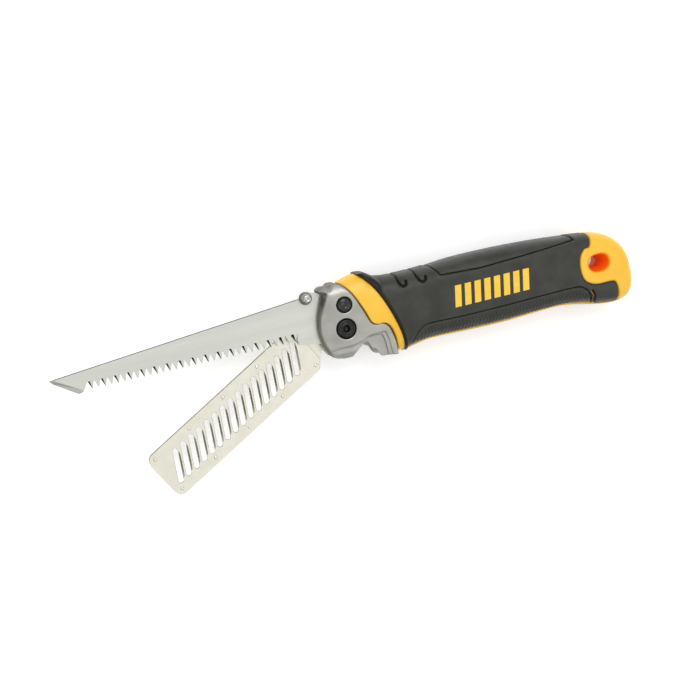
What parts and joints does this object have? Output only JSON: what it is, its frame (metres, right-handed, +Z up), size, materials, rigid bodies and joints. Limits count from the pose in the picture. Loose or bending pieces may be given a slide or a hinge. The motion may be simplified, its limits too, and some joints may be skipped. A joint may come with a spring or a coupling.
{
  "type": "folding jab saw with rasp",
  "caption": "Folding drywall jab saw with a perforated rasp blade, a cast metal head and a rubber-covered handle.",
  "frame": {"origin": "middle of the footprint at rest, on the surface that the tool lies on", "axes": "+X along the handle towards its rear end, +Y towards the spine of the open saw, +Z up, out of the near side with the lock button"},
  "size_m": [0.298, 0.086, 0.028],
  "materials": {
    "cast_metal": "die cast, bead blasted, satin",
    "blade_steel": "ground satin steel",
    "rasp_steel": "bright nickel-plated steel sheet",
    "chrome": "bright chrome plate",
    "black_steel": "black oxide",
    "black_plastic": "glossy moulded ABS",
    "yellow_plastic": "satin moulded nylon",
    "black_rubber": "moulded soft rubber, fine matt grain",
    "yellow_print": "pad printed ink",
    "spring_steel": "bright drawn",
    "nylon": "plain nylon"
  },
  "bodies": {
    "handle": {"head_near": "cast_metal", "head_far": "cast_metal", "core_near": "yellow_plastic", "core_far": "yellow_plastic", "grip_near": "black_rubber", "grip_far": "black_rubber", "top_panel": "black_rubber", "rib_panel_near": "black_rubber", "rib_panel_far": "black_rubber", "print_inlay": "yellow_print", "stop_pin": "spring_steel", "handle_screw_1": "black_steel", "handle_screw_2": "black_steel", "handle_screw_3": "black_steel", "handle_screw_4": "black_steel", "pivot_screw": "black_steel", "pivot_sleeve": "black_steel", "washer_near": "nylon", "washer_middle": "nylon", "washer_far": "nylon", "lock_spring": "spring_steel"},
    "saw": {"saw_blade": "blade_steel", "thumb_stud": "chrome"},
    "rasp": {"rasp_back_plate": "rasp_steel", "rasp_front_sheet": "rasp_steel", "rasp_rivet_1": "rasp_steel", "rasp_rivet_2": "rasp_steel", "rasp_rivet_3": "rasp_steel", "rasp_rivet_4": "rasp_steel", "rasp_rivet_5": "rasp_steel", "rasp_rivet_6": "rasp_steel", "rasp_rivet_7": "rasp_steel", "rasp_rivet_8": "rasp_steel", "rasp_rivet_9": "rasp_steel", "rasp_rivet_10": "rasp_steel"},
    "lock": {"lock_button": "black_plastic", "lock_plunger": "spring_steel", "lock_clip": "spring_steel"}
  },
  "joints": [
    {"name": "saw_fold", "type": "hinge", "parent": "handle", "child": "saw", "pos_m": [-0.006, 0.01846, 0.014], "axis": [0, 0, 1], "range_deg": [0, 178]},
    {"name": "rasp_fold", "type": "hinge", "parent": "handle", "child": "rasp", "pos_m": [-0.006, 0.01846, 0.014], "axis": [0, 0, 1], "range_deg": [-27, 151]},
    {"name": "lock_press", "type": "slide", "parent": "handle", "child": "lock", "axis": [0, 0, -1], "range_m": [0, 0.0025], "stiffness_N_per_m": 1500, "springref_m": -0.001, "deforming": ["lock_spring"]}
  ]
}
